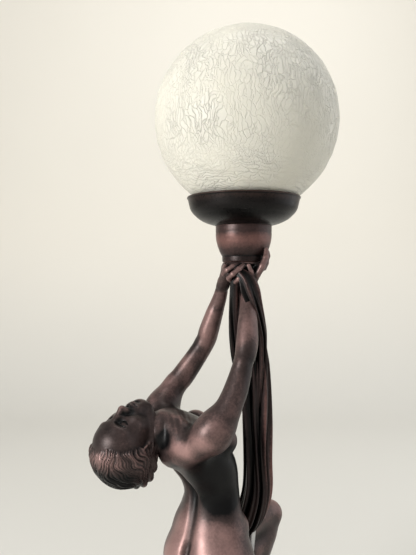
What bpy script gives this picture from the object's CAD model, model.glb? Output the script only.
import math
import bpy
import numpy as np
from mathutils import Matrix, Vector


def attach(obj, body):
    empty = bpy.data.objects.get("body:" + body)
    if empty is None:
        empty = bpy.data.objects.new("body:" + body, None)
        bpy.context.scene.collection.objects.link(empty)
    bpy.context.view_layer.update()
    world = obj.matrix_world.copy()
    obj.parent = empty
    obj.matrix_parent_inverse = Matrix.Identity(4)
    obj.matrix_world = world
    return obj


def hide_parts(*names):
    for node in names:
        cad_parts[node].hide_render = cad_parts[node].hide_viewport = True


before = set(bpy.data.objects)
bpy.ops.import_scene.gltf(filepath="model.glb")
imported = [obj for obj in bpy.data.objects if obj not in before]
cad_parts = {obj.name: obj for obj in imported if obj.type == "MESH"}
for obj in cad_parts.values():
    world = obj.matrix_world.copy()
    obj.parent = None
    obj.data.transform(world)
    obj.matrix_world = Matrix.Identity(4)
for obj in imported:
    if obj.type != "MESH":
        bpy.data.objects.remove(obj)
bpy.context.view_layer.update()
mm = 0.001
plinthTop = 36.0
lampAxis = np.array([11.0, -22.0])
onPlinth = np.array([0.0, 0.0, plinthTop])
emptyClay = 60.0
cubeCorners = [(i, j, k) for i in (0, 1) for j in (0, 1) for k in (0, 1)]


def unit(v):
    v = np.asarray(v, float)
    return v / np.linalg.norm(v)


def eachUnit(rows):
    return rows / np.linalg.norm(rows, axis=1)[:, None]


def lengthAlong(points):
    return np.concatenate([[0], np.cumsum(np.linalg.norm(np.diff(points, axis=0), axis=1))])


# stations are rows of numbers; between two of them the row follows a Catmull-Rom curve
def along(stations, count):
    rows = np.asarray(stations, float)
    padded = np.vstack([2 * rows[0] - rows[1], rows, 2 * rows[-1] - rows[-2]])
    t = np.linspace(0, len(rows) - 1, count)
    i = np.minimum(t.astype(int), len(rows) - 2)
    f = (t - i)[:, None]
    a, b, c, d = padded[i], padded[i + 1], padded[i + 2], padded[i + 3]
    square = 2 * a - 5 * b + 4 * c - d
    cube = 3 * b - a - 3 * c + d
    return 0.5 * (2 * b + (c - a) * f + square * f ** 2 + cube * f ** 3)


# points are in millimetres; faces are rows of three or four indices
def makeMesh(name, points, faces, material, **values):
    mesh = bpy.data.meshes.new(name)
    mesh.vertices.add(len(points))
    mesh.vertices.foreach_set("co", (np.asarray(points) * mm).astype(np.float32).ravel())
    corners = faces.shape[1]
    mesh.loops.add(faces.size)
    mesh.loops.foreach_set("vertex_index", faces.astype(np.int32).ravel())
    mesh.polygons.add(len(faces))
    mesh.polygons.foreach_set("loop_start", np.arange(len(faces), dtype=np.int32) * corners)
    mesh.polygons.foreach_set("use_smooth", np.ones(len(faces), bool))
    mesh.update(calc_edges=True)
    mesh.validate()
    for key, data in values.items():
        layer = mesh.attributes.new(key, "FLOAT", "POINT")
        layer.data.foreach_set("value", np.asarray(data, np.float32).ravel())
    piece = bpy.data.objects.new(name, mesh)
    bpy.context.scene.collection.objects.link(piece)
    mesh.materials.append(material)
    return piece


# quads between neighbouring rows and columns of a grid; a closed grid joins its last column to its first
def gridFaces(rows, columns, closedColumns=True):
    r = np.arange(rows - 1)[:, None]
    c = np.arange(columns if closedColumns else columns - 1)[None, :]
    n = (c + 1) % columns
    quads = [r * columns + c, r * columns + n, (r + 1) * columns + n, (r + 1) * columns + c]
    return np.stack([q.ravel() for q in np.broadcast_arrays(*quads)], axis=1)


# the same, and the last row joins the first
def ringFaces(rows, columns):
    last = (rows - 1) * columns
    c = np.arange(columns)
    n = (c + 1) % columns
    return np.vstack([gridFaces(rows, columns), np.stack([last + c, last + n, n, c], axis=1)])


# a profile of radius and height turned about an upright axis; ends on the axis close as small rings
def turnedPoints(profile, centre, count):
    profile = np.asarray(profile, float)
    angle = np.linspace(0, 2 * math.pi, count, endpoint=False)
    radius = np.maximum(profile[:, 0], 1e-3)[:, None]
    x = centre[0] + radius * np.cos(angle)
    y = centre[1] + radius * np.sin(angle)
    z = np.repeat(profile[:, 1][:, None], count, axis=1)
    return np.stack([x, y, z], axis=2).reshape(-1, 3)


# a polyline profile whose corners are rounded: each corner gives way to a short quadratic curve
def softProfile(corners, rounds, steps=6):
    corners = np.asarray(corners, float)
    rows = [corners[:1]]
    for i in range(1, len(corners) - 1):
        before, at, after = corners[i - 1], corners[i], corners[i + 1]
        reach = min(rounds[i - 1], 0.45 * np.linalg.norm(at - before), 0.45 * np.linalg.norm(after - at))
        start = at + unit(before - at) * reach
        end = at + unit(after - at) * reach
        t = np.linspace(0, 1, steps)[:, None]
        rows.append((1 - t) ** 2 * start + 2 * t * (1 - t) * at + t ** 2 * end)
    rows.append(corners[-1:])
    return np.vstack(rows)


def neighbours(faces):
    edges = np.vstack([np.stack([faces[:, i], faces[:, (i + 1) % faces.shape[1]]], axis=1)
                       for i in range(faces.shape[1])])
    edges.sort(axis=1)
    return np.unique(edges, axis=0)


# every point moves half way to the mean of its neighbours
def relaxed(points, edges, rounds):
    count = len(points)
    degree = np.bincount(edges.ravel(), minlength=count).astype(float)
    for _ in range(rounds):
        total = np.empty_like(points)
        for k in range(3):
            total[:, k] = (np.bincount(edges[:, 0], points[edges[:, 1], k], count)
                           + np.bincount(edges[:, 1], points[edges[:, 0], k], count))
        points = points + 0.5 * (total / degree[:, None] - points)
    return points


def pointNormals(points, faces):
    a, b, c, d = (points[faces[:, i]] for i in (0, 1, 2, -1))
    n = np.cross(c - a, d - b)
    normals = np.stack([sum(np.bincount(faces[:, i], n[:, k], len(points)) for i in range(faces.shape[1]))
                        for k in range(3)], axis=1)
    return normals / np.maximum(np.linalg.norm(normals, axis=1), 1e-9)[:, None]


# how far each point stands out of its relaxed surroundings, along its normal, in millimetres
def ridges(points, faces, rounds):
    smooth = relaxed(points, neighbours(faces), rounds)
    return np.einsum("ij,ij->i", points - smooth, pointNormals(points, faces))


# clay: a distance field on a grid, negative inside, that pieces are added to and carved from
def newClay(low, high, step):
    low, high = np.asarray(low, float), np.asarray(high, float)
    counts = np.ceil((high - low) / step).astype(int) + 1
    return {"low": low, "step": step, "field": np.full(counts, emptyClay, np.float32)}


# the places of a stretch of grid points along each axis
def gridPlaces(clay, first, last):
    axes = [(clay["low"][k] + clay["step"] * np.arange(first[k], last[k])).astype(np.float32)
            for k in range(3)]
    return np.meshgrid(*axes, indexing="ij", sparse=True)


# the part of the grid within some room of a box, and its places along each axis
def window(clay, low, high, room):
    shape = np.array(clay["field"].shape)
    first = np.floor((np.asarray(low) - room - clay["low"]) / clay["step"]).astype(int)
    last = np.ceil((np.asarray(high) + room - clay["low"]) / clay["step"]).astype(int) + 1
    first, last = np.clip(first, 0, shape), np.clip(last, 0, shape)
    if (last - first < 1).any():
        return None, None
    part = tuple(slice(a, b) for a, b in zip(first, last))
    return part, gridPlaces(clay, first, last)


# smooth least of two distances: where they are closer than blend, the surface rounds over between them
def smoothLeast(a, b, blend):
    if blend <= 0:
        return np.minimum(a, b)
    h = np.clip(0.5 + 0.5 * (b - a) / blend, 0, 1)
    return b + (a - b) * h - blend * h * (1 - h)


def work(clay, part, distance, blend, carve):
    old = clay["field"][part]
    if carve:
        clay["field"][part] = -smoothLeast(-old, distance, blend)
    else:
        clay["field"][part] = smoothLeast(old, distance, blend)


# distance to an egg-shaped solid: the offset over its half sizes, less one, over the slope there
def eggDistance(offsets, halves):
    scaled = [o / h for o, h in zip(offsets, halves)]
    steep = [o / (h * h) for o, h in zip(offsets, halves)]
    k = np.sqrt(sum(s * s for s in scaled))
    slope = np.sqrt(sum(s * s for s in steep))
    return k * (k - 1) / np.maximum(slope, 1e-6)


def egg(clay, centre, halves, blend=3.0, frameAxes=np.eye(3), carve=False):
    halves = np.broadcast_to(np.asarray(halves, float), 3)
    reach = float(halves.max())
    room = blend + 3 * clay["step"]
    part, axes = window(clay, np.asarray(centre) - reach, np.asarray(centre) + reach, room)
    if part is None:
        return
    gaps = [axes[k] - np.float32(centre[k]) for k in range(3)]
    offsets = [sum(gaps[k] * np.float32(row[k]) for k in range(3)) for row in frameAxes]
    work(clay, part, eggDistance(offsets, halves), blend, carve)


# a limb: oval sections carried along a curve. Rows are x, y, z, half breadth and half depth. A grid point
# belongs to the nearest stretch of the curve, and takes the section there, which turns and tapers on the way
def limb(clay, stations, side, blend=3.0, carve=False, count=None):
    rows = along(stations, count or 5 * (len(stations) - 1) + 1)
    sides = np.asarray(side, float)
    sides = along(sides, len(rows)) if sides.ndim == 2 else np.repeat(sides[None], len(rows), axis=0)
    runs = np.diff(rows[:, :3], axis=0)
    lengths = np.maximum(np.linalg.norm(runs, axis=1), 1e-6)
    runs = runs / lengths[:, None]
    ways = np.vstack([runs[:1], runs[:-1] + runs[1:], runs[-1:]])
    ways = eachUnit(ways)
    across = np.empty_like(ways)
    last = unit(np.cross(ways[0], (0.3, 0.5, 0.8)))
    # the section turns no more than it must
    for i, way in enumerate(ways):
        flat = sides[i] - way * (sides[i] @ way)
        if np.linalg.norm(flat) < 0.4:
            flat = last - way * (last @ way)
        flat = unit(flat)
        across[i] = last = flat if i == 0 or flat @ last >= 0 else -flat
    deep = np.cross(ways, across)
    reach = rows[:, 3:5].max(axis=1)
    room = blend + 3 * clay["step"]
    most = 1.2 * reach.max()
    whole, _ = window(clay, rows[:, :3].min(axis=0) - most, rows[:, :3].max(axis=0) + most, room)
    if whole is None:
        return
    distance = np.full(clay["field"][whole].shape, emptyClay, np.float32)
    nearest = np.full(distance.shape, 1e9, np.float32)
    for i in range(len(rows) - 1):
        a, b = rows[i], rows[i + 1]
        size = 1.2 * max(reach[i], reach[i + 1])
        part, axes = window(clay, np.minimum(a[:3], b[:3]) - size, np.maximum(a[:3], b[:3]) + size, room)
        if part is None:
            continue
        gaps = [axes[k] - np.float32(a[k]) for k in range(3)]
        far = sum(gaps[k] * np.float32(runs[i, k]) for k in range(3))
        t = np.clip(far / lengths[i], 0, 1)
        offset = [gaps[k] - t * np.float32(lengths[i] * runs[i, k]) for k in range(3)]
        apart = sum(o * o for o in offset)
        u = sum(offset[k] * (across[i, k] + t * (across[i + 1, k] - across[i, k])) for k in range(3))
        v = sum(offset[k] * (deep[i, k] + t * (deep[i + 1, k] - deep[i, k])) for k in range(3))
        over = far - t * lengths[i]
        # past an inner joint the section still counts for a little way, so that the stretches meet
        before = 0.0 if i == 0 else 0.3 * reach[i]
        after = 0.0 if i == len(rows) - 2 else 0.3 * reach[i + 1]
        over = np.maximum(np.abs(over) - np.where(over < 0, before, after), 0)
        halfU = a[3] + t * (b[3] - a[3])
        halfV = a[4] + t * (b[4] - a[4])
        found = eggDistance([u, v, over], [halfU, halfV, 0.5 * (halfU + halfV)])
        local = tuple(slice(p.start - w.start, p.stop - w.start) for p, w in zip(part, whole))
        closer = apart < nearest[local]
        nearest[local] = np.where(closer, apart, nearest[local])
        distance[local] = np.where(closer, found, distance[local])
    work(clay, whole, distance, blend, carve)


# one vertex in each cell that the surface crosses, at the mean of the crossings on the cell's edges,
# and one quad round each grid edge that the surface crosses
def netOf(clay):
    field = np.pad(clay["field"], 1, constant_values=emptyClay)
    low = clay["low"] - clay["step"]
    inside = field < 0
    n = np.array(field.shape) - 1
    total = np.zeros(n, np.int8)
    for i, j, k in cubeCorners:
        total += inside[i:n[0] + i, j:n[1] + j, k:n[2] + k]
    cells = np.argwhere((total > 0) & (total < 8))
    index = np.full(n, -1, np.int32)
    index[cells[:, 0], cells[:, 1], cells[:, 2]] = np.arange(len(cells))
    values = {c: field[cells[:, 0] + c[0], cells[:, 1] + c[1], cells[:, 2] + c[2]] for c in cubeCorners}
    place, hits = np.zeros((len(cells), 3)), np.zeros(len(cells))
    for c in cubeCorners:
        for axis in range(3):
            if c[axis]:
                continue
            d = tuple(c[k] + (k == axis) for k in range(3))
            crossed = (values[c] < 0) != (values[d] < 0)
            t = values[c] / np.where(crossed, values[c] - values[d], 1)
            point = np.repeat(np.array([c], float), len(cells), axis=0)
            point[:, axis] += t
            place += point * crossed[:, None]
            hits += crossed
    points = low + clay["step"] * (cells + place / hits[:, None])
    quads = []
    for axis in range(3):
        one, two = (axis + 1) % 3, (axis + 2) % 3
        near = [slice(1, n[k]) for k in range(3)]
        near[axis] = slice(0, n[axis])
        far = list(near)
        far[axis] = slice(1, n[axis] + 1)
        a, b = inside[tuple(near)], inside[tuple(far)]
        at = np.argwhere(a != b)
        at[:, one] += 1
        at[:, two] += 1
        outward = a[tuple((at - np.array([k in (one, two) for k in range(3)])).T)]
        def cell(back1, back2):
            spot = at.copy()
            spot[:, one] -= back1
            spot[:, two] -= back2
            return index[spot[:, 0], spot[:, 1], spot[:, 2]]
        ring = np.stack([cell(1, 1), cell(0, 1), cell(0, 0), cell(1, 0)], axis=1)
        ring[~outward] = ring[~outward][:, ::-1]
        quads.append(ring)
    return points, np.vstack(quads)


# the figure: its own frame stands on the plinth top, in millimetres
hipsLeft = unit([-0.74, 0.67, 0.0])
chestLeft = unit([-0.50, 0.866, 0.0])
trunk = {
    "stations": [
        (-25, -31, 98, 17, 15), (-26, -32, 108, 36, 29), (-27, -33, 124, 47, 35), (-27, -34, 144, 50, 35),
        (-26, -33, 168, 46, 31), (-24.5, -32, 190, 37, 25.5), (-23.5, -31, 211, 33, 24),
        (-28, -34.5, 234, 37, 28), (-41, -42, 254, 40, 28.5), (-54.5, -48, 268.5, 40, 25.5),
        (-66, -52, 276.5, 34, 20.5), (-77, -55, 276, 21, 16)],
    "sides": np.array([hipsLeft] * 6 + [unit(hipsLeft + 0.5 * chestLeft)] + [chestLeft] * 5),
}
shoulders = {"right": (-23, -96, 284), "left": (-79, -5, 290)}
legs = {
    "leftThigh": [(-48, -16, 132, 27, 29), (-20, 12, 136, 25, 27), (12, 48, 138, 21, 23),
                  (36, 74, 138, 18, 18.5), (48, 86, 136, 16.5, 17.5)],
    "leftShin": [(50, 88, 133, 14, 15), (38, 77, 104, 15.5, 17.5), (22, 64, 70, 14, 15.5),
                 (6, 50, 40, 9.5, 10.5), (-3, 42, 14, 9, 10)],
    "leftFoot": [(-14, 27, 8, 9, 10), (-5, 39, 11, 10, 13), (10, 58, 8, 12, 11), (22, 73, 5, 13.5, 7),
                 (28, 81, 4, 13, 5)],
    "rightThigh": [(-8, -54, 136, 28, 30), (4, -42, 106, 26, 28), (22, -22, 70, 22, 24),
                   (40, -4, 36, 18, 19), (52, 8, 16, 16.5, 17)],
    "rightShin": [(54, 10, 14, 14, 14), (34, -12, 19, 16, 17), (10, -38, 28, 15.5, 16.5),
                  (-14, -64, 40, 10.5, 11), (-32, -84, 52, 9, 9.5)],
    "rightFoot": [(-41, -94, 58, 8.5, 9), (-41, -94, 36, 11, 10.5), (-38, -90, 16, 12.5, 9.5),
                  (-31, -82, 7, 13, 6.5)],
}
legLeft = unit([0.67, -0.74, 0.0])
legSide = unit([0.74, -0.67, 0.0])
arms = {
    "left": [(-79, -5, 290, 15.5, 15.5), (-66, 5, 311, 12.8, 12.8), (-54, 7.5, 325, 12, 12),
             (-32, 8, 360, 11.2, 11.2), (-27, 5, 374, 11.2, 10.8), (-21, 0, 394, 9.8, 9.2),
             (-14.5, -8, 414, 7.8, 7.4), (-11, -17, 431, 6.3, 6)],
    "right": [(-23, -96, 284, 15, 15), (-9.5, -94, 306, 12.6, 12.6), (-0.5, -88, 325, 11.4, 11.6),
              (7.5, -79, 351, 9.9, 10.2), (10.5, -73, 366, 10.6, 10.4), (12, -65, 384, 10, 9.8),
              (14, -51, 408, 8.6, 8.4), (15.5, -38, 430, 7.2, 6.4)],
}
armSide = unit([0.86, -0.5, 0.0])
neck = [(-66, -52, 275, 19, 17), (-80, -56, 276, 14.5, 15), (-94, -60, 270, 14, 15),
        (-106, -64, 263, 16, 16)]
neckCut = {"place": np.array([-88.0, -55.0, 279.0]), "way": unit([-0.975, -0.222, 0.0])}
# above handCut the hands have finer clay; a finer piece goes on by tuck, a little thinner, inside the body
handCut = 424.0
tuck = 5.0

headCentre = np.array([-112.0, -66.0, 261.0])
crown = unit([-0.62, -0.58, -0.52])
facing = np.array([-0.38, -0.35, 0.86])
facing = unit(facing - crown * (facing @ crown))
headLeft = np.cross(crown, facing)
headAxes = np.stack([headLeft, facing, crown])


# a place in the head's own frame: left, forward and up from its middle
def onHead(left, forward, up):
    return headCentre + headLeft * left + facing * forward + crown * up


def headRows(rows):
    return [(*onHead(r[0], r[1], r[2]), *(r[3:] if len(r) > 4 else (r[3], r[3]))) for r in rows]


# a place by the trunk's skin: t counts stations, turn is 0 in front, 90 at her left, 180 behind
def onTrunk(t, turn, out):
    rows = np.asarray(trunk["stations"], float)
    fine = along(rows, 50 * (len(rows) - 1) + 1)
    sides = along(trunk["sides"], len(fine))
    i = int(np.clip(round(t * 50), 1, len(fine) - 2))
    run = unit(fine[i + 1, :3] - fine[i - 1, :3])
    left = unit(sides[i] - run * (sides[i] @ run))
    front = np.cross(left, run)
    turn = math.radians(turn)
    return (fine[i, :3] + left * math.sin(turn) * (fine[i, 3] + out)
            + front * math.cos(turn) * (fine[i, 4] + out))


def trunkRows(rows):
    return [(*onTrunk(t, turn, out), size, size) for t, turn, out, size in rows]


def bothSides(clay, rows, side, blend):
    limb(clay, trunkRows(rows), side, blend)
    limb(clay, trunkRows([(t, -turn, out, size) for t, turn, out, size in rows]), side, blend)


def shapeTrunk(clay):
    limb(clay, trunk["stations"], trunk["sides"], 0)
    for place in ((-22, -58, 134), (-48, -34, 134)):  # seat
        egg(clay, place, (26, 26, 27.5), 12)
    for side in ("right", "left"):
        egg(clay, shoulders[side], 15.5, 12)
    egg(clay, (-71, -26, 275), (17, 17, 17), 14)
    # from the back to the raised arm: one broad sheet of muscle over the shoulder blade
    bladeSide = (0.6, 0.2, 0.7)
    limb(clay, [(-66, -66, 254, 12, 12), (-54, -78, 260, 14, 14), (-41, -88, 267, 15, 15),
                (-29, -94, 277, 15, 15), (-20, -96, 289, 13, 13)], bladeSide, 16)
    limb(clay, [(-66, -36, 262, 10, 10), (-76, -22, 276, 12, 12), (-80, -8, 288, 12, 12)], bladeSide, 12)
    for place in ((-13, -54, 265), (-42, -9, 272)):  # breasts
        egg(clay, place, 15.5, 6)
    # collar bones, the long muscles beside the spine, and the broad ones from the back to the armpits
    bothSides(clay, [(10.6, 10, -2.6, 2.6), (10.1, 40, -2.6, 2.4), (9.8, 64, -1.5, 2.4)], chestLeft, 6)
    bothSides(clay, [(3.2, 160, -13, 10), (5, 160, -11.5, 10), (6.5, 160, -10, 10), (8.2, 160, -10.5, 10),
                     (9.6, 160, -11, 9)], hipsLeft, 12)
    bothSides(clay, [(9.4, 116, -10, 12), (8.4, 126, -11, 13), (7.2, 136, -11, 12), (6.2, 146, -11, 9)],
              hipsLeft, 12)
    # grooves of the spine, the seat and the belly
    limb(clay, trunkRows([(3.2, 180, 3.6, 3.2), (4.4, 180, 3.4, 3.4), (6, 180, 3.2, 4.2),
                          (7.6, 180, 3.0, 5), (9.2, 180, 3.2, 5), (10.2, 180, 4.2, 4.5)]),
         hipsLeft, 6, carve=True)
    limb(clay, [(-49, -58, 114, 2.0, 2.0), (-54, -62.5, 130, 2.2, 2.2), (-52.6, -61.6, 146, 2.0, 2.0),
                (-49.5, -59.5, 157, 1.6, 1.6)], hipsLeft, 5, carve=True)
    limb(clay, trunkRows([(5.0, 0, 3.2, 4), (6.2, 0, 2.6, 4.6), (7.4, 0, 3.0, 4.4)]),
         hipsLeft, 6, carve=True)
    egg(clay, onTrunk(4.7, 0, 0.4), (1.8, 1.8, 2.4), 2.5, carve=True)  # navel
    for turn in (52, -52):
        egg(clay, onTrunk(4.3, turn, -7), 9, 9)  # hip bones in front


def shapeLegs(clay):
    for side in ("left", "right"):
        limb(clay, legs[side + "Thigh"], legLeft, 9)
        limb(clay, legs[side + "Shin"], legLeft, 5)
    egg(clay, (51, 89, 137), (13, 13, 12.5), 5)
    egg(clay, (57, 13, 14), (12, 12, 11), 5)
    limb(clay, [(44, 70, 112, 7, 8), (36, 63, 96, 10, 10), (26, 58, 80, 6, 8)], legLeft, 8)  # calf
    limb(clay, [(0, 30, 110, 15, 15), (24, 52, 106, 15, 17), (42, 73, 120, 12, 13)], legLeft, 10)
    limb(clay, [(36, -16, 27, 8, 8), (20, -31, 34, 10, 9), (0, -52, 40, 6, 6)], legLeft, 8)
    limb(clay, legs["leftFoot"], legSide, 5)
    limb(clay, legs["rightFoot"], legSide, 5)
    egg(clay, (-14, 30, 9), (9.6, 9.6, 9), 4)
    egg(clay, (-43, -95, 54), 9, 4)
    for place in ((-13, 50, 19), (6, 34, 19)):
        egg(clay, place, 4.6, 4)  # ankle bones
    # toes
    for k, (reach, size) in enumerate(((12, 4.6), (12.5, 3.6), (11.5, 3.4), (9.5, 3.2), (7, 3))):
        across = legSide * (-10.5 + 5.4 * k)
        for root, way in (((27, 79, 4.4), unit([0.5, 0.86, 0])), ((-30, -81, 5), unit([0.64, 0.77, 0]))):
            a = np.array(root) + across
            b = a + way * reach * 0.55
            c = a + way * reach
            limb(clay, [(*a, size, size), (*b[:2], 4.4, size, size * 0.9), (*c[:2], 3.4, size, size * 0.8)],
                 legSide, 1.6)


def shapeArms(clay):
    for side in ("left", "right"):
        limb(clay, arms[side], armSide, 12)
    # right arm: upper arm muscles, elbow point, forearm
    limb(clay, [(-24, -95, 282, 10, 10), (-15, -98, 292, 9, 9), (-7, -97, 304, 6, 6)], armSide, 12)
    limb(clay, [(-10, -90, 305, 6, 6), (-2, -84, 320, 7, 7), (4, -79, 338, 4.5, 4.5)], armSide, 9)
    limb(clay, [(-8, -99, 305, 5.5, 5.5), (1, -94, 322, 6, 6), (6, -86, 340, 4.5, 4.5)], armSide, 9)
    egg(clay, (6.5, -85, 350), (5, 5, 6), 6)
    limb(clay, [(12, -79, 358, 5, 5), (14, -72, 372, 6, 6), (14.5, -63, 390, 4, 4)], armSide, 9)
    # left arm
    limb(clay, [(-84, -8, 288, 9, 9), (-75, 4, 300, 9, 9), (-67, 8, 314, 5.5, 5.5)], armSide, 12)
    limb(clay, [(-68, 3, 313, 6, 6), (-56, 5, 330, 6.5, 6.5), (-42, 6, 348, 4, 4)], armSide, 9)
    egg(clay, (-36, 12, 361), (5, 5, 6), 6)
    limb(clay, [(-32, 3, 363, 4.5, 4.5), (-27.5, 0, 377, 5.5, 5.5), (-21, -4, 394, 4, 4)], armSide, 9)


def shapeNeck(clay):
    limb(clay, neck, headLeft, 12)
    for s in (-1, 1):  # neck muscles to the breastbone
        start, end = onHead(22 * s, -7, -20), onTrunk(10.7, 10 * s, -3)
        middle = 0.5 * (start + end) + np.array([0, 0, 3.0])
        limb(clay, [(*start, 4.0, 4.0), (*middle, 4.0, 4.0), (*end, 3.0, 3.0)], headLeft, 8)


# the face is a plain classical one on the usual thirds: eyes half way up, nose and mouth below them
face = {"eyeOut": 11.0, "eyeUp": -5.0, "noseUp": -18.5, "mouthUp": -28.8, "chinUp": -38.5}


def shapeHead(clay):
    def place(at, halves, blend, carve=False):
        egg(clay, onHead(*at), halves, blend, headAxes, carve)

    def line(rows, blend, carve=False):
        limb(clay, headRows(rows), headLeft, blend, carve)

    place((0, -2, 3), (28.5, 35.5, 32.5), 0)
    place((0, 11, -13), (22.5, 21.5, 27), 9)
    place((0, 12.5, 7), (24, 19.5, 18), 9)
    eyeOut, eyeUp, noseUp, mouthUp, chinUp = face.values()
    for s in (-1, 1):
        line([(21.5 * s, -4, -18, 6), (18 * s, 8, -29, 6), (7 * s, 19, chinUp, 6)], 9)  # jaw
        place((15 * s, 18.5, -13), (8, 9, 9), 9)  # cheek
        line([(3.5 * s, 30.4, 1.5, 2.2), (10 * s, 29.8, 3.6, 2.3), (17.5 * s, 24.2, 2.2, 2.0)], 6)
    place((0, 23.5, chinUp + 0.5), (8, 7, 6), 7)
    for s in (-1, 1):
        place((eyeOut * s, 35.2, eyeUp + 0.3), (7.4, 5.0, 4.6), 4, True)
        place((eyeOut * s, 23.6, eyeUp), (7.0, 6.4, 5.6), 1.6)
        line([(eyeOut * s - 5.8, 28.2, eyeUp - 1.2, 0.6), (eyeOut * s, 30.2, eyeUp - 3.0, 0.65),
              (eyeOut * s + 5.8, 27.6, eyeUp - 1.4, 0.6)], 0.9, True)
        line([(eyeOut * s - 5.4, 28.4, eyeUp + 2.6, 0.5), (eyeOut * s, 29.9, eyeUp + 3.6, 0.55),
              (eyeOut * s + 5.2, 27.2, eyeUp + 2.2, 0.5)], 1.2, True)
    line([(0, 28.6, 1, 3.8), (0, 31.6, -6, 3.6), (0, 34.6, -13, 4.0), (0, 36.2, noseUp + 1.8, 4.3)], 4)
    for s in (-1, 1):
        place((4.3 * s, 33.4, noseUp), (3.0, 4.2, 3.0), 2.4)
        place((2.2 * s, 36, noseUp - 3.0), (1.1, 1.8, 1.2), 1.2, True)
    place((0, 26.6, mouthUp), (11.5, 7, 8.5), 7)
    line([(0, 35.0, noseUp - 4.4, 1.0), (0, 34.8, noseUp - 7, 1.0)], 1.8, True)
    line([(-7.6, 31.0, mouthUp + 0.2, 1.0), (-3, 33.2, mouthUp + 1.5, 1.7), (0, 33.2, mouthUp + 1.0, 1.5),
          (3, 33.2, mouthUp + 1.5, 1.7), (7.6, 31.0, mouthUp + 0.2, 1.0)], 1.6)
    line([(-6.8, 30.8, mouthUp - 0.8, 1.0), (0, 32.6, mouthUp - 2.4, 2.4),
          (6.8, 30.8, mouthUp - 0.8, 1.0)], 1.6)
    line([(-8.2, 31.6, mouthUp, 0.6), (0, 35.2, mouthUp - 0.3, 0.65), (8.2, 31.6, mouthUp, 0.6)], 0.8, True)
    place((0, 33.0, mouthUp - 6.2), (6, 2.4, 1.6), 3, True)
    for s in (-1, 1):  # ears
        place((27.0 * s, -3.4, -11), (3.0, 6.6, 9.4), 2.5)
        place((30.6 * s, -1.6, -10), (2.4, 3.8, 5.8), 1.4, True)
        line([(28.8 * s, 3.0, -8, 1.2), (29.8 * s, 2.6, -1.4, 1.4), (30.2 * s, -3.6, 0.2, 1.5),
              (30 * s, -9.0, -5, 1.5), (29.2 * s, -8.2, -12, 1.4), (28 * s, -4.4, -18.4, 1.9)], 1.0)
        line([(29.4 * s, -0.4, -15, 1.0), (29.6 * s, -5.0, -10, 1.1), (29.6 * s, -4.4, -4, 0.9)], 1.0)
        place((28.0 * s, 2.4, -11.5), (1.6, 1.6, 2.2), 1.0)


hair = {"locks": 15.0, "strands": 43.0, "height": 2.3, "thickness": 3.8, "rollStrand": 4.0}


# hair lies over the skull behind the hairline; its wavy strands run as meridians to the roll at the nape
def shapeHair(clay):
    halves = np.array([28.5, 35.5, 32.5]) + hair["thickness"]
    middle = onHead(0, -2, 3)
    part, axes = window(clay, middle - 44, middle + 44, 0)
    if part is None:
        return
    gaps = [axes[k] - np.float32(middle[k]) for k in range(3)]
    left, forward, up = (sum(gaps[k] * np.float32(row[k]) for k in range(3)) for row in headAxes)
    shell = eggDistance([left, forward, up], halves)
    pole = unit([0, -0.95, 0.02])
    size = np.sqrt(left ** 2 + forward ** 2 + up ** 2) + 1e-3
    toPole = (forward * pole[1] + up * pole[2]) / size
    sink = np.arccos(np.clip(toPole, -1, 1))  # angle from the pole
    around = np.arctan2(left, up * -pole[1] + forward * pole[2])
    lean = (around + 0.20 * np.sin(2.2 * sink + 1.3) + 0.10 * np.sin(4.1 * sink + 3 * around)
            + 0.05 * np.sin(8 * sink + 6 * around) + 0.03 * np.sin(13 * sink - 9 * around))
    locks = np.abs(np.sin(lean * hair["locks"] + 1.5 * np.sin(5 * lean + 1.6 * sink))) ** 0.7
    waved = lean * hair["strands"] + 1.7 * np.sin(5 * lean) + 1.1 * np.sin(2.5 * sink)
    strands = np.abs(np.sin(waved)) ** 0.8
    fade = np.clip((sink - 0.25) / 0.5, 0.3, 1)
    uneven = 0.7 + 0.3 * np.sin(11 * lean + 1.3 * sink) * np.sin(4.3 * lean + 2 * sink + 1)
    lay = hair["height"] * (0.75 * locks * uneven + 0.42 * strands - 0.35) * fade
    edge = np.where(up > 2, -1 + 27 * np.clip((up - 2) / 19, 0, 1) ** 1.5, -1 + 0.55 * (up - 2))
    edge = edge + 0.02 * left ** 2
    behind = (forward + 2 - edge) * 0.8 + 0.7 * (0.6 - locks) + 0.5 * (0.5 - strands)
    low = -(up + 25 - 0.25 * forward)
    thin = 3.4 * (1 - np.clip(-behind / 11, 0, 1)) ** 1.5
    work(clay, part, -smoothLeast(-(shell - lay + 0.9 + thin), -np.maximum(behind, low), 2.8), 0.8, False)
    # the roll at the nape, of strands twisted round one path
    path = along([(-28, -13, -12), (-25, -22, -4), (-16, -32, 5), (0, -37, 9), (16, -32, 5), (25, -22, -4),
                  (28, -13, -12)], 61)
    run = eachUnit(np.gradient(path, axis=0))
    out = eachUnit(path)
    out = eachUnit(out - run * np.sum(out * run, axis=1)[:, None])
    other = np.cross(run, out)
    length = lengthAlong(path)
    taper = np.sin(np.pi * np.clip(length / length[-1], 0.08, 0.92)) ** 0.35
    for turn in (0.0, 2.094, 4.189):
        angle = length / 5.6 + turn
        wind = (out * np.cos(angle)[:, None] + other * np.sin(angle)[:, None]) * (4.2 * taper)[:, None]
        rows = [(*p, hair["rollStrand"] * w) for p, w in zip(path + wind, taper)]
        limb(clay, headRows(rows), 0.66 * facing + 0.75 * crown, 1.0, count=len(rows))


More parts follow.
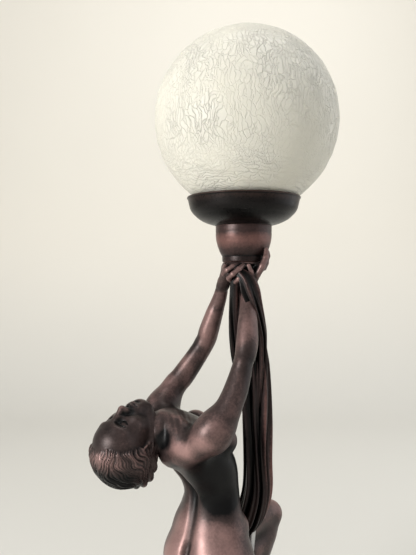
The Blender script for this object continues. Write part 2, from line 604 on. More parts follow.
fingers = {
    "leftPalm": [(-11, -17, 426, 6.3, 6), (-8.5, -26, 436, 7.2, 6), (-5, -35, 441.5, 7.6, 5.5),
                 (0, -42, 443, 6.6, 5)],
    "leftFingers": [
        [(3, -45, 448, 2.9), (-2, -51, 446, 2.9), (-7.5, -51, 442.5, 2.8), (-11.5, -46, 439, 2.6)],
        [(9, -48, 447, 2.9), (4, -54, 443.5, 2.9), (-2, -55, 438.5, 2.8), (-6, -51, 434.5, 2.7),
         (-4, -46, 432, 2.5)],
        [(11, -45, 443, 2.7), (9, -52, 438.5, 2.7), (4, -54.5, 433.5, 2.6), (1, -50, 430, 2.4),
         (2, -45, 428, 2.3)],
        [(-6, -36, 447.5, 2.8), (-9.5, -43, 446, 2.7), (-9.5, -48, 442, 2.5), (-6, -50, 438, 2.4)]],
    "rightPalm": [(15.5, -38, 424, 7, 6.2), (20, -40, 434, 8, 5.4), (25, -40, 443, 8.4, 4.8),
                  (29, -38, 449, 7.6, 4)],
    "rightFingers": [
        [(24, -46, 438, 3.4), (29, -47, 447, 3.3), (33, -44.5, 456, 3.0), (34, -41.4, 464.5, 2.4)],
        [(28, -41, 443, 3.2), (33, -41, 451, 3.0), (35.6, -38, 458, 2.7), (35.8, -35.5, 462.5, 2.2)],
        [(31, -36, 445, 3), (34.5, -34, 451, 2.7), (36, -31, 457, 2.3)],
        [(32.5, -31, 445, 2.8), (35, -28.5, 450, 2.5), (36, -26, 454, 2.1)],
        [(20, -45, 435, 3.3), (17, -49, 441, 3), (14.5, -49.5, 447, 2.6)]],
}


def shapeHands(clay):
    handSide = unit([0.5, -0.6, 0.6])
    # the casting closes under the cup, between the two wrists
    egg(clay, (6, -27, 446), (19, 18, 8), 4)
    egg(clay, (-1, -27, 446), (12, 12, 7.5), 3)
    egg(clay, (11, -22, 450), (23, 23, 5.5), 2)
    limb(clay, fingers["leftPalm"], handSide, 4)
    limb(clay, fingers["rightPalm"], unit([0.3, -0.95, 0]), 4)
    for side in ("left", "right"):
        for rows in fingers[side + "Fingers"]:
            wide = [(*r, r[3]) for r in rows]
            limb(clay, wide, handSide, 1.6)
            for r in rows[1:-1]:
                egg(clay, r[:3], r[3] + 0.35, 0.8)  # knuckles
    # the cup's own room is kept free of the hands
    part, axes = window(clay, (-30, -70, 448), (60, 20, 500), 0)
    if part is not None:
        radius = np.sqrt((axes[0] - lampAxis[0]) ** 2 + (axes[1] - lampAxis[1]) ** 2)
        up = axes[2] - 452
        belly = 23.9 + 7.2 * np.clip((up - 6.5) / 20, 0, 1) ** 0.7
        work(clay, part, np.maximum(radius - belly, -up), 0, True)


# how far each grid point lies beyond a plane
def reachOf(clay, place, way):
    axes = gridPlaces(clay, (0, 0, 0), clay["field"].shape)
    return sum((a - np.float32(p)) * np.float32(w) for a, p, w in zip(axes, place, way))


# the body stops at the cut; the finer piece goes a little further in, where it is slightly thinner
def keptBelow(clay, place, way):
    clay["field"] = np.maximum(clay["field"], reachOf(clay, place, way))


def keptAbove(clay, place, way):
    reach = reachOf(clay, place, way)
    clay["field"] = clay["field"] + 0.45 * np.clip(-reach / (0.5 * tuck), 0, 1)
    clay["field"] = np.maximum(clay["field"], -reach - tuck)


# the clay's value at any place, mixed from the eight grid points round it
def fieldAt(clay, points):
    spot = np.clip((points - clay["low"]) / clay["step"], 0, np.array(clay["field"].shape) - 1.001)
    first = spot.astype(int)
    f = spot - first
    value = np.zeros(len(points))
    for corner in cubeCorners:
        share = np.prod([f[:, k] if corner[k] else 1 - f[:, k] for k in range(3)], axis=0)
        value += share * clay["field"][tuple((first + corner).T)]
    return value


# the finish was rubbed by hand: bright where the hand could reach, black where the paint was left.
# Each row is a middle, half sizes and a strength
rubbedPlaces = [
    ((-63, -50, 158), (22, 22, 34), 0.95), ((-19, -76, 156), (24, 22, 34), 0.8),
    ((-40, -70, 178), (10, 14, 26), 0.35), ((-22, -80, 130), (22, 22, 20), 0.35),
    ((-66, -36, 130), (20, 20, 20), 0.35), ((-34, -105, 277), (13, 14, 8), 0.75),
    ((-50, -95, 267), (14, 14, 8), 0.75), ((-64, -84, 268), (12, 12, 9), 0.5),
    ((-20, -106, 289), (11, 14, 10), 0.45), ((-10, -98, 314), (8, 10, 22), 0.12),
    ((9, -78, 385), (8, 8, 26), 0.3), ((-72, 0, 306), (12, 14, 18), 0.4),
    ((-50, 0, 335), (10, 12, 24), 0.3), ((-28, -6, 378), (9, 9, 28), 0.4),
    ((-128, -92, 252), (18, 18, 14), 0.45), ((48, 86, 146), (16, 16, 12), 0.3),
    ((60, 12, 14), (14, 14, 12), 0.4), ((-36, -2, 284), (12, 12, 10), 0.2),
    ((4, -20, 170), (14, 18, 24), 0.3), ((30, -30, 60), (22, 22, 30), 0.3),
    ((22, 74, 6), (14, 14, 8), 0.4), ((-40, -92, 10), (12, 12, 12), 0.4), ((34, -42, 456), (7, 7, 10), 0.1)]
darkPlaces = [
    ((-12, -78, 226), (33, 33, 34), 2.2), ((4, -52, 234), (18, 28, 30), 1.0),
    ((-72, -78, 272), (9, 10, 9), 0.9), ((-61, -80, 243), (5, 7, 7), 0.8),
    ((-52, -85, 234), (5, 7, 8), 0.9), ((-43, -86, 223), (5, 7, 9), 0.8),
    ((-44, 6, 345), (9, 9, 40), 0.5), ((20, 8, 118), (26, 26, 26), 0.6), ((0, -10, 120), (26, 30, 30), 0.6),
    ((-40, -40, 296), (26, 26, 14), 0.45), ((-80, -50, 240), (16, 22, 22), 0.3),
    ((-128, -76, 228), (32, 34, 22), 1.1), ((14, -88, 335), (10, 14, 44), 0.5),
    ((-112, -66, 292), (28, 28, 22), 0.22), ((-129, -82, 276), (20, 20, 16), 0.3),
    ((-6, -88, 300), (16, 18, 60), 0.22)]


def touched(points, places):
    left = np.ones(len(points))
    for middle, halves, strength in places:
        k = np.linalg.norm((points - np.array(middle)) / np.array(halves), axis=1)
        soft = np.clip(1.45 - k, 0, 1)
        left -= strength * soft * soft * (3 - 2 * soft)
    return 1 - left


# a mesh of some clay with its wear: rise is how far it stands out of its surroundings, and shelter how much
# of the clay lies round it. It keeps at most so many triangles
def castPiece(name, clay, material, facts, cuts):
    points, faces = netOf(clay)
    edges = neighbours(faces)
    points = relaxed(points, edges, facts["rounds"])
    normals = pointNormals(points, faces)
    close = relaxed(points, edges, 8)
    wide = relaxed(close, edges, facts["broad"])
    rise = np.sum((points - close) * normals, axis=1) + 0.3 * np.sum((close - wide) * normals, axis=1)
    shelter = sum(np.clip(1 - fieldAt(clay, points + normals * d) / d, 0, 1) for d in (5.0, 12.0)) / 2
    # neither counts at a seam
    for place, way in cuts:
        apart = np.abs((points - place) @ way)
        rise = rise * np.clip(apart / 5 - 0.4, 0, 1)
        shelter = shelter * np.clip(apart / 12 - 0.4, 0, 1)
    worn = touched(points, rubbedPlaces) - 1.4 * touched(points, darkPlaces) - 1.1 * shelter
    piece = makeMesh(name, points + onPlinth, faces, material, wear=rise, worn=worn)
    triangles = 2 * len(faces)
    most = facts["most"]
    if triangles > most:
        thin = piece.modifiers.new("thin", "DECIMATE")
        thin.ratio = most / triangles
        done = piece.evaluated_get(bpy.context.evaluated_depsgraph_get())
        mesh = bpy.data.meshes.new_from_object(done)
        piece.modifiers.clear()
        piece.data = mesh
        mesh.polygons.foreach_set("use_smooth", np.ones(len(mesh.polygons), bool))
    print(name, "triangles", triangles, "kept", min(triangles, most))
    return piece


# each piece's grid (least and greatest corner and step), the rounds that smooth its mesh, the rounds that
# give its wide surroundings, and its most triangles. The head and the hands have finer clay
casting = {
    "body": {"grid": ((-125, -125, -2), (80, 118, 432), 1.2), "rounds": 3, "broad": 60, "most": 196000},
    "head": {"grid": ((-168, -122, 205), (-62, -10, 318), 0.72), "rounds": 1, "broad": 140, "most": 190000},
    "hands": {"grid": ((-34, -66, 412), (56, 0, 482), 0.6), "rounds": 1, "broad": 180, "most": 120000},
}


def makeFigure(material):
    wrist = (np.array([0, 0, handCut]), np.array([0, 0, 1.0]))
    throat = (neckCut["place"], neckCut["way"])
    ground = ((0, 0, 0.3), (0, 0, -1))
    body = newClay(*casting["body"]["grid"])
    for shape in (shapeTrunk, shapeLegs, shapeArms, shapeNeck):
        shape(body)
    for cut in (throat, wrist, ground):
        keptBelow(body, *cut)
    castBody = castPiece("figureBody", body, material, casting["body"], [wrist, throat])

    head = newClay(*casting["head"]["grid"])
    for shape in (shapeTrunk, shapeArms, shapeNeck):
        shape(head)
    skull = newClay(*casting["head"]["grid"])
    shapeHead(skull)
    shapeHair(skull)
    head["field"] = smoothLeast(head["field"], skull["field"], 3.0)
    keptAbove(head, *throat)
    castHead = castPiece("figureHead", head, material, casting["head"], [throat])

    hands = newClay(*casting["hands"]["grid"])
    shapeArms(hands)
    shapeHands(hands)
    keptAbove(hands, *wrist)
    castHands = castPiece("figureHands", hands, material, casting["hands"], [wrist])
    return [castBody, castHead, castHands]


# materials
def newMaterial(name):
    material = bpy.data.materials.new(name)
    material.use_nodes = True
    return material, material.node_tree, material.node_tree.nodes["Principled BSDF"]


# a socket is linked, and anything else becomes the input's own value
def feed(tree, made, inputs):
    for key, value in dict(inputs).items():
        if isinstance(value, bpy.types.NodeSocket):
            tree.links.new(value, made.inputs[key])
        else:
            made.inputs[key].default_value = value


def node(tree, kind, inputs=(), **settings):
    made = tree.nodes.new("ShaderNode" + kind)
    for key, value in settings.items():
        setattr(made, key, value)
    feed(tree, made, inputs)
    return made


def placeOf(tree):
    return node(tree, "TexCoord").outputs["Object"]


def noise(tree, place, size, detail, rough=0.5):
    facts = {"Vector": place, "Scale": size, "Detail": detail, "Roughness": rough}
    return node(tree, "TexNoise", facts).outputs


def spread(tree, value, low, high, toLow=0.0, toHigh=1.0, **settings):
    ends = {"Value": value, "From Min": low, "From Max": high, "To Min": toLow, "To Max": toHigh}
    return node(tree, "MapRange", ends, **settings).outputs[0]


def mixed(tree, share, a, b, kind="RGBA"):
    return node(tree, "Mix", {"Factor": share, "A": a, "B": b}, data_type=kind).outputs["Result"]


def maths(tree, operation, a, b):
    return node(tree, "Math", {0: a, 1: b}, operation=operation).outputs[0]


def stretched(tree, place, **values):
    return node(tree, "Mapping", {"Vector": place, **values}).outputs["Vector"]


def colour(r, g, b):
    return (r, g, b, 1.0)


# inputs are names and their first values, where four numbers stand for a colour
def newGroup(name, inputs, outputs):
    tree = bpy.data.node_groups.new(name, "ShaderNodeTree")
    for label, value in inputs.items():
        kind = "NodeSocketColor" if isinstance(value, tuple) else "NodeSocketFloat"
        socket = tree.interface.new_socket(label, in_out="INPUT", socket_type=kind)
        socket.default_value = value
    for label in outputs:
        kind = "NodeSocketColor" if label == "Color" else "NodeSocketFloat"
        tree.interface.new_socket(label, in_out="OUTPUT", socket_type=kind)
    return tree, tree.nodes.new("NodeGroupInput").outputs, tree.nodes.new("NodeGroupOutput")


# bronze paint: black where it was left, brown between, rubbed to copper where the surface stands out.
# Worn runs from -1, left alone, to 1, rubbed; Rise is how far the surface stands out, in millimetres
def patinaGroup():
    tree, given, result = newGroup("rubbedBronze", {
        "Rise": 0.0, "Worn": 0.0, "Edge": 1.6, "Dark": colour(0.02, 0.014, 0.012),
        "Brown": colour(0.07, 0.04, 0.03), "Copper": colour(0.4, 0.2, 0.15), "Gloss": 0.34},
        ("Color", "Roughness", "Height"))
    place = placeOf(tree)
    clouds = noise(tree, place, 45.0, 6.0, 0.65)["Fac"]
    grain = noise(tree, place, 420.0, 4.0, 0.65)["Fac"]
    brushed = noise(tree, stretched(tree, place, Scale=(1.0, 1.0, 0.16)), 900.0, 2.0)["Fac"]
    patchy = spread(tree, clouds, 0.3, 0.7, -0.17, 0.17)
    speckled = spread(tree, grain, 0.3, 0.7, -0.14, 0.14)
    edges = spread(tree, maths(tree, "MULTIPLY", given["Rise"], given["Edge"]), -1.0, 1.0, -1.0, 1.0)
    total = given["Worn"]
    for part in (edges, patchy, speckled):
        total = maths(tree, "ADD", total, part)
    base = mixed(tree, spread(tree, total, -0.75, 0.1), given["Dark"], given["Brown"])
    feed(tree, result, {
        "Color": mixed(tree, spread(tree, total, 0.1, 1.1), base, given["Copper"]),
        "Roughness": maths(tree, "ADD", given["Gloss"], spread(tree, grain, 0.3, 0.7, -0.05, 0.09)),
        "Height": maths(tree, "ADD", grain, brushed)})
    return tree


# fine scratches and dull patches of plain metal
def wearGroup():
    tree, given, result = newGroup("handledMetal", {
        "Tone": colour(0.5, 0.5, 0.5), "Stain": colour(0.3, 0.3, 0.3), "Gloss": 0.35, "Size": 160.0},
        ("Color", "Roughness", "Height"))
    place = placeOf(tree)
    patches = noise(tree, place, given["Size"], 4.0)["Fac"]
    fine = noise(tree, place, 1500.0, 2.0)["Fac"]
    feed(tree, result, {
        "Color": mixed(tree, spread(tree, patches, 0.45, 0.7), given["Tone"], given["Stain"]),
        "Roughness": maths(tree, "ADD", given["Gloss"], spread(tree, fine, 0.0, 1.0, -0.06, 0.1)),
        "Height": fine})
    return tree


# crackled glass: wavy cracks that lie level in the lower part and stand upright higher up
def crackleGroup():
    tree, given, result = newGroup("crackle", {"Size": 120.0, "Width": 0.06}, ("Crack", "Height", "Cloud"))
    centred = stretched(tree, placeOf(tree), Location=(-0.014, 0.022, -0.6418))
    bend = noise(tree, centred, 45.0, 3.0)["Color"]
    shift = node(tree, "VectorMath", {0: bend, 1: (0.02, 0.02, 0.02)}, operation="MULTIPLY").outputs[0]
    moved = node(tree, "VectorMath", {0: centred, 1: shift}, operation="ADD").outputs[0]
    lines = []
    for squeeze in ((0.3, 0.3, 1.6), (1.2, 1.2, 0.28)):
        flat = stretched(tree, moved, Scale=squeeze)
        facts = {"Vector": flat, "Scale": given["Size"]}
        cells = node(tree, "TexVoronoi", facts, feature="DISTANCE_TO_EDGE")
        lines.append(spread(tree, cells.outputs["Distance"], 0.0, given["Width"], 1.0, 0.0))
    height = node(tree, "SeparateXYZ", {"Vector": centred}).outputs["Z"]
    both = mixed(tree, spread(tree, height, -0.075, -0.03), *lines, "FLOAT")
    cloud = noise(tree, centred, 14.0, 4.0)["Fac"]
    seen = maths(tree, "MULTIPLY", both, spread(tree, cloud, 0.38, 0.6, 0.35, 1.0))
    feed(tree, result, {"Crack": seen, "Height": maths(tree, "SUBTRACT", 1.0, seen), "Cloud": cloud})
    return tree


def useGroup(tree, group, **values):
    return node(tree, "Group", values, node_tree=group).outputs


def addBump(tree, shader, height, strength, distance):
    bump = node(tree, "Bump", {"Height": height, "Strength": strength, "Distance": distance})
    feed(tree, shader, {"Normal": bump.outputs["Normal"]})


def bronze(name, dark, brown, copper, gloss, edge=1.6):
    material, tree, shader = newMaterial(name)
    rise, worn = (node(tree, "Attribute", attribute_name=key).outputs["Fac"] for key in ("wear", "worn"))
    patina = useGroup(tree, rubbed, Rise=rise, Worn=worn, Edge=edge, Dark=colour(*dark),
                      Brown=colour(*brown), Copper=colour(*copper), Gloss=gloss)
    feed(tree, shader, {"Base Color": patina["Color"], "Roughness": patina["Roughness"], "Metallic": 0.4,
                        "Specular IOR Level": 0.3})
    addBump(tree, shader, patina["Height"], 0.12, 0.0004)
    return material


def plainMetal(name, tone, stain, gloss, metallic=1.0):
    material, tree, shader = newMaterial(name)
    used = useGroup(tree, handled, Tone=colour(*tone), Stain=colour(*stain), Gloss=gloss)
    feed(tree, shader, {"Base Color": used["Color"], "Roughness": used["Roughness"], "Metallic": metallic})
    addBump(tree, shader, used["Height"], 0.08, 0.0002)
    return material


def frostedGlass(name):
    material, tree, shader = newMaterial(name)
    cracks = useGroup(tree, crackle, Size=215.0, Width=0.09)
    tint = mixed(tree, spread(tree, cracks["Cloud"], 0.35, 0.65), colour(0.97, 0.95, 0.855),
                 colour(0.99, 0.975, 0.90))
    lined = mixed(tree, maths(tree, "MULTIPLY", cracks["Crack"], 0.2), tint, colour(0.80, 0.78, 0.70))
    feed(tree, shader, {"Base Color": lined, "Transmission Weight": 0.36, "Roughness": 0.26, "IOR": 1.2,
                        "Specular IOR Level": 0.25})
    addBump(tree, shader, cracks["Height"], 1.0, 0.0009)
    return material


def plainStuff(name, base, rough, grainSize, depth, bump, transmission=0.0):
    material, tree, shader = newMaterial(name)
    grain = noise(tree, placeOf(tree), grainSize, 4.0, 0.7)["Fac"]
    tone = mixed(tree, grain, colour(*(c * 0.75 for c in base)), colour(*base))
    feed(tree, shader, {"Base Color": tone, "Transmission Weight": transmission,
                        "Roughness": spread(tree, grain, 0.0, 1.0, rough - 0.06, rough + 0.06)})
    addBump(tree, shader, grain, bump, depth)
    return material


rubbed, handled, crackle = patinaGroup(), wearGroup(), crackleGroup()
# left black, brown and rubbed colours, roughness and how much the edges show
bronzes = {
    "castBronze": ((0.003, 0.003, 0.0035), (0.060, 0.041, 0.039), (0.33, 0.20, 0.185), 0.36, 1.1),
    "clothBronze": ((0.003, 0.003, 0.003), (0.035, 0.022, 0.021), (0.27, 0.13, 0.115), 0.36, 0.5),
    "cupBronze": ((0.004, 0.004, 0.0045), (0.052, 0.031, 0.029), (0.24, 0.12, 0.105), 0.34),
    "darkDish": ((0.002, 0.002, 0.002), (0.007, 0.005, 0.005), (0.06, 0.036, 0.03), 0.30),
    "darkFoot": ((0.005, 0.004, 0.004), (0.034, 0.021, 0.019), (0.20, 0.10, 0.085), 0.34),
}
# metal and stain colours and roughness; the last number makes painted steel plain
metals = {
    "zincSteel": ((0.55, 0.55, 0.56), (0.38, 0.38, 0.40), 0.34),
    "springBrass": ((0.30, 0.21, 0.10), (0.12, 0.08, 0.05), 0.36),
    "agedBrass": ((0.42, 0.30, 0.14), (0.22, 0.15, 0.08), 0.32),
    "contactBrass": ((0.65, 0.50, 0.24), (0.45, 0.34, 0.18), 0.28),
    "bulbAluminium": ((0.70, 0.70, 0.71), (0.55, 0.55, 0.56), 0.3),
    "blackSteel": ((0.03, 0.03, 0.03), (0.018, 0.018, 0.018), 0.45, 0.0),
}
# colour, roughness, size and depth of the grain, bump and share of light let through
stuffs = {
    "feltCloth": ((0.09, 0.12, 0.09), 0.92, 900.0, 0.0006, 0.7),
    "blackRubber": ((0.025, 0.025, 0.025), 0.6, 600.0, 0.0002, 0.3),
    "ceramic": ((0.86, 0.84, 0.80), 0.2, 60.0, 0.0001, 0.05),
    "blackGlass": ((0.02, 0.02, 0.022), 0.12, 200.0, 0.0001, 0.05),
    "bulbGlass": ((0.93, 0.93, 0.91), 0.35, 300.0, 0.0001, 0.05, 0.5),
}
finish = {name: bronze(name, *facts) for name, facts in bronzes.items()}
finish["crackleGlass"] = frostedGlass("crackleGlass")
finish.update({name: plainMetal(name, *facts) for name, facts in metals.items()})
finish.update({name: plainStuff(name, *facts) for name, facts in stuffs.items()})
print("materials ready")


def claim(piece, body, cadNode):
    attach(piece, body)
    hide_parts(cadNode)


for piece in makeFigure(finish["castBronze"]):
    claim(piece, "lamp_body", "figure")
print("figure ready")


# drape: folds run down a hanging column; the section's radius swells and sinks round it
drape = {
    "column": {"stations": [
        (11, -22, 451.6, 15, 13.5), (11.5, -22, 438, 14, 13), (13, -20, 415, 12.5, 12),
        (18, -18, 389, 12.5, 12), (22, -15.5, 355, 12.5, 12), (24.5, -13, 333, 12.5, 12),
        (26.5, -10.5, 281, 12.5, 12), (27, -9, 235, 12.5, 12.5), (27, -8, 205, 13.5, 13.5),
        (24, -7, 186, 14, 14), (18, -5, 169, 14, 14), (9, 0, 154, 13.5, 13.5), (2, 7, 136, 13, 13),
        (4, 10, 105, 13, 13), (10, 11, 66, 14, 14), (16, 12, 28, 16, 16), (20, 14, 0.4, 20, 20)],
        "folds": 8, "depth": 0.24, "rows": 420, "columns": 270},
    # the fold that the fist holds, over the near forearm and round into the column
    "swag": {"stations": [
        (-2, -47, 442, 3.6, 3), (5, -52, 440, 5.4, 3.8), (12, -55.5, 433, 7.6, 4.4),
        (16, -57, 421, 8.2, 4.4), (20.5, -56, 407, 6.4, 4.6), (24.5, -48, 393, 5.6, 5),
        (27.5, -36, 377, 5.6, 6), (28, -26, 358, 6, 7), (28, -20, 330, 6, 7), (28, -15, 290, 4, 4)],
        "folds": 6, "depth": 0.36, "rows": 200, "columns": 120},
    # the narrow end that hangs on the other side of the forearm
    "tail": {"stations": [
        (1, -47, 441, 3.4, 3), (0.5, -48, 433, 4.6, 3.4), (0, -47, 420, 4.8, 3.6),
        (-0.6, -45, 398, 4.6, 3.8), (0.6, -40, 370, 4.6, 4), (4, -32, 345, 4.4, 4),
        (10, -22, 325, 3.6, 3.4)],
        "folds": 4, "depth": 0.3, "rows": 160, "columns": 80},
}


def makeDrape(name, facts, material):
    count = facts["rows"]
    rows = along(facts["stations"], count)
    run = eachUnit(np.gradient(rows[:, :3], axis=0))
    across = eachUnit(np.array([1.0, 0, 0]) - run * run[:, :1])
    deep = np.cross(run, across)
    down = lengthAlong(rows[:, :3])[:, None]
    angle = np.linspace(0, 2 * math.pi, facts["columns"], endpoint=False)[None, :]
    twist = angle + 0.0035 * down + 0.35 * np.sin(down / 60)
    wander = twist * facts["folds"] + 0.7 * np.sin(down / 46 + angle) + 0.5 * np.sin(down / 23 + 2 * angle)
    folds = np.abs(np.cos(wander / 2)) ** 0.7 * 2 - 1.1
    folds = folds + (0.3 * np.cos(2 * wander + down / 31) + 0.22 * np.cos(3 * twist + down / 57))
    spreading = np.clip((down - 4) / 40, 0.25, 1) * (1 + 0.25 * np.sin(down / 75))
    swell = 1 + facts["depth"] * spreading * folds
    # the last three rows at each end close as a quarter of a circle
    closing = np.clip(np.minimum(np.arange(count), np.arange(count)[::-1])[:, None] / 3.0, 0, 1)
    swell = swell * np.maximum(np.sqrt(closing * (2 - closing)), 1e-3)
    u = rows[:, 3:4] * swell * np.cos(angle)
    v = rows[:, 4:5] * swell * np.sin(angle)
    points = rows[:, None, :3] + u[..., None] * across[:, None] + v[..., None] * deep[:, None]
    faces = gridFaces(*points.shape[:2])[:, ::-1]
    points = points.reshape(-1, 3)
    points[:, 2] = np.maximum(points[:, 2], 0.3)
    worn = 0.8 * folds - 0.4 + 0.25 * np.sin(down / 37 + 3 * angle)
    worn = worn - 0.7 * np.clip(0.25 - np.cos(angle), 0, 1)
    return makeMesh(name, points + onPlinth, faces, material, wear=ridges(points, faces, 20), worn=worn)


for name, facts in drape.items():
    cloth = makeDrape("drape" + name.capitalize(), facts, finish["clothBronze"])
    claim(cloth, "lamp_body", "drape")
print("drape ready")


# cup, dish and globe: turned profiles of radius and height, in millimetres. A tone pairs heights with wear
def turnedPiece(name, profile, count, material, cadNode, tone):
    points = turnedPoints(profile, lampAxis, count)
    faces = ringFaces(len(profile), count)
    worn = np.interp(points[:, 2], *zip(*tone))
    piece = makeMesh(name, points, faces, material, wear=ridges(points, faces, 12), worn=worn)
    claim(piece, "lamp_body", cadNode)


cup = {"bottom": 488.0, "collar": 23.7, "collarHeight": 6.5, "belly": 30.6, "lip": 30.3, "bore": 5.4,
       "tone": ((488, -0.55), (495, -0.45), (502, 0.05), (510, 0.6), (515, 0.45), (519, 0.05),
                (527, -0.25))}


def cupProfile():
    z = cup["bottom"]
    bore = cup["bore"]
    belly = cup["belly"]
    t = np.linspace(0, 1, 24)
    swell = cup["collar"] + (belly - cup["collar"]) * np.sin(t * math.pi / 2) ** 0.85
    side = np.stack([swell, z + cup["collarHeight"] + t * (cup["lip"] - cup["collarHeight"])], axis=1)
    foot = softProfile([(bore, z), (23.0, z), (23.5, z + 0.7), (23.5, z + 5.0), (23.45, z + 5.8)],
                       [0.4, 0.5, 0.6], 4)
    rings = softProfile([
        (belly, z + 30.6), (30.52, z + 31.6), (30.52, z + 32.4), (belly, z + 33.4), (belly, z + 39.2),
        (27, z + 39.2), (26.5, z + 38.0), (26.5, z + 12), (20, z + 8), (bore, z + 8)],
        [0.4, 0.3, 0.3, 0.4, 0.3, 0.4, 0.5, 3, 0.5], 4)
    return np.vstack([foot, side, rings])


dish = {"foot": 527.4, "footRadius": 31.0, "shoulder": 56.5, "edge": 61.3, "wall": 2.6,
        "seat": 13.7, "bore": 5.4,
        "tone": ((527, -0.9), (540, -0.8), (549, -0.1), (555, 0.4), (558, -0.2))}


# from the foot out to the rim: a shallow bowl that turns up steeply near its edge
def dishProfile():
    z = dish["foot"]
    seat = z + dish["seat"]
    t = np.linspace(0, 1, 40)
    bowl = np.sin(np.clip(t * 1.35, 0, 1) * math.pi / 2) ** 0.9
    radius = dish["footRadius"] + (dish["shoulder"] - dish["footRadius"]) * bowl
    radius = radius + np.clip((t - 0.48) / 0.52, 0, 1) * (dish["edge"] - dish["shoulder"])
    height = 0.5 + 29.2 * (0.62 * t ** 1.7 + 0.38 * t)
    outer = np.stack([radius, z + height], axis=1)
    bead = [(61.9, z + 29.4), (62.0, z + 30.2), (61.6, z + 31.0), (60.9, z + 31.2), (60.2, z + 30.8),
            (59.8, z + 29.8)]
    inner = np.stack([radius[::-1] - dish["wall"], z + 1.6 + height[::-1]], axis=1)
    inner = inner[(inner[:, 1] > seat + 0.2) & (inner[:, 1] < z + 29)]
    ledge = [(inner[-1, 0] - 0.2, seat), (42, seat), (41.6, seat - 0.6), (36, z + 6), (27, z + 3),
             (dish["bore"], z + 3), (dish["bore"], z), (dish["footRadius"], z)]
    return np.vstack([outer, bead, inner, ledge])


globe = {"centre": (14.0, -22.0, 641.8), "radius": 100.0, "wall": 3.0, "rows": 150, "columns": 256,
         "neck": [(45.6, 552.0), (45.2, 548.0), (45.2, 542.0), (45.8, 541.3), (47.8, 541.3), (48.4, 542.0),
                  (48.4, 548.0), (48.8, 552.0)]}


# an almost full ball with a short neck that turns down into its seat, inside and out. The glass is uneven
def makeGlobe(material):
    centre = np.array(globe["centre"])
    t = np.linspace(-math.asin(0.865), math.pi / 2, globe["rows"])
    arc = np.stack([np.cos(t), np.sin(t)], axis=1)
    outer = (0, centre[2]) + globe["radius"] * arc
    inner = (0, centre[2]) + (globe["radius"] - globe["wall"]) * arc[::-1]
    profile = np.vstack([outer[4:], inner[:-4], globe["neck"]])
    points = turnedPoints(profile, centre[:2], globe["columns"])
    faces = ringFaces(len(profile), globe["columns"])
    offsets = points - centre
    size = np.linalg.norm(offsets, axis=1)
    way = offsets / size[:, None]
    soft = (np.sin(way @ np.array([9.0, 5.0, 31.0]) + 2 * np.sin(way @ np.array([7.0, -9.0, 4.0])))
            + 0.6 * np.sin(way @ np.array([-13.0, 17.0, 44.0])))
    outside = size > globe["radius"] - 0.5 * globe["wall"]
    points = points - way * (0.16 * (1.6 - soft) * outside)[:, None]
    return makeMesh("crackleGlobe", points, faces, material)


turnedPiece("turnedCup", cupProfile(), 192, finish["cupBronze"], "socket_cup",
            cup["tone"])
turnedPiece("spunDish", dishProfile(), 256, finish["darkDish"], "gallery_dish",
            dish["tone"])
claim(makeGlobe(finish["crackleGlass"]), "globe_body", "globe")
print("turned pieces ready")


# the nodes kept from the CAD get their finishes
kept = {
    "feltCloth": ["base_felt"], "blackSteel": ["base_plate"], "darkFoot": ["plinth"],
    "blackRubber": ["cord_grommet"], "ceramic": ["holder_core"], "bulbAluminium": ["bulb_cap"],
    "blackGlass": ["bulb_insulator"], "bulbGlass": ["bulb_glass"],
    "zincSteel": ["base_plate_screws", "figure_bolts", "figure_washers", "conduit_tube",
                  "tube_lower_washer", "tube_lower_nut", "dish_washer", "tube_upper_nut"],
    "springBrass": ["globe_spider", "globe_spring_arms", "spring_rivets"],
    "agedBrass": ["holder_base", "holder_shell", "shade_ring"],
    "contactBrass": ["holder_contacts", "bulb_contact"],
}
for look, names in kept.items():
    for name in names:
        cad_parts[name].data.materials.clear()
        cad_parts[name].data.materials.append(finish[look])
print("kept nodes ready")


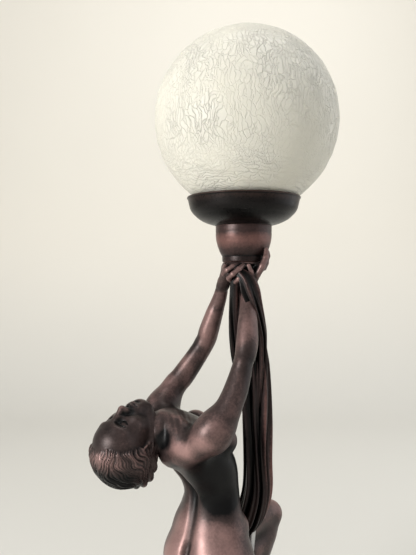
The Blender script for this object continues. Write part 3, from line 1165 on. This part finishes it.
# floor and backdrop in one sheet, with a rounded corner between them, in millimetres
def makeStage():
    x = np.linspace(-4000, 4000, 9)
    corner = np.linspace(0, math.pi / 2, 13)
    y = np.concatenate([[-3000, -1000, 500], 1300 + 700 * np.sin(corner), [2000]])
    z = np.concatenate([[0, 0, 0], 700 - 700 * np.cos(corner), [4500]])
    points = np.stack([np.tile(x, len(y)), np.repeat(y, len(x)), np.repeat(z, len(x))], axis=1)
    material, tree, shader = newMaterial("paleWall")
    place = placeOf(tree)
    tone = mixed(tree, noise(tree, place, 1.2, 2.0)["Fac"],
                 colour(0.78, 0.75, 0.68), colour(0.83, 0.80, 0.73))
    height = node(tree, "SeparateXYZ", {"Vector": place}).outputs["Z"]
    low = spread(tree, height, -0.35, 0.75, 1.0, 0.0, interpolation_type="SMOOTHSTEP")
    feed(tree, shader, {"Base Color": mixed(tree, low, tone, colour(0.60, 0.60, 0.575)), "Roughness": 0.9})
    wall = makeMesh("backdrop", points, gridFaces(len(y), len(x), False), material)


def areaLight(name, place, target, size, power, tint):
    data = bpy.data.lights.new(name, "AREA")
    data.shape = "SQUARE"
    data.size = size
    data.energy = power
    data.color = tint
    lamp = bpy.data.objects.new(name, data)
    way = np.array(target) - np.array(place)
    lamp.rotation_euler = Vector(way).to_track_quat("-Z", "Y").to_euler()
    lamp.location = place
    bpy.context.scene.collection.objects.link(lamp)


makeStage()
areaLight("windowLight", (-1.7, -1.3, 0.95), (0.0, 0.0, 0.4), 0.9, 46.0, (1.0, 0.985, 0.96))
areaLight("fillLight", (1.5, 0.1, 1.1), (0.0, 0.0, 0.5), 2.2, 15.0, (0.95, 0.97, 1.0))
areaLight("wallLight", (0.3, 0.3, 2.2), (0.1, 1.8, 0.8), 1.6, 22.0, (1.0, 0.99, 0.97))

scene = bpy.context.scene
scene.view_settings.view_transform = "Standard"
world = bpy.data.worlds.new("room")
world.use_nodes = True
world.node_tree.nodes["Background"].inputs["Color"].default_value = colour(0.90, 0.88, 0.84)
world.node_tree.nodes["Background"].inputs["Strength"].default_value = 0.38
scene.world = world

# the camera is level, with no shift; its focal length is given in pixels of a picture this high
focalPixels = 620
pictureHeight = 555
sensorWidth = 36
cameraData = bpy.data.cameras.new("camera")
cameraData.lens = focalPixels * sensorWidth / pictureHeight
cameraData.sensor_width = sensorWidth
camera = bpy.data.objects.new("camera", cameraData)
camera.location = (-0.028, -0.700, 0.471)
camera.rotation_euler = (math.pi / 2, 0, 0)
scene.collection.objects.link(camera)
scene.camera = camera

print("stage ready")
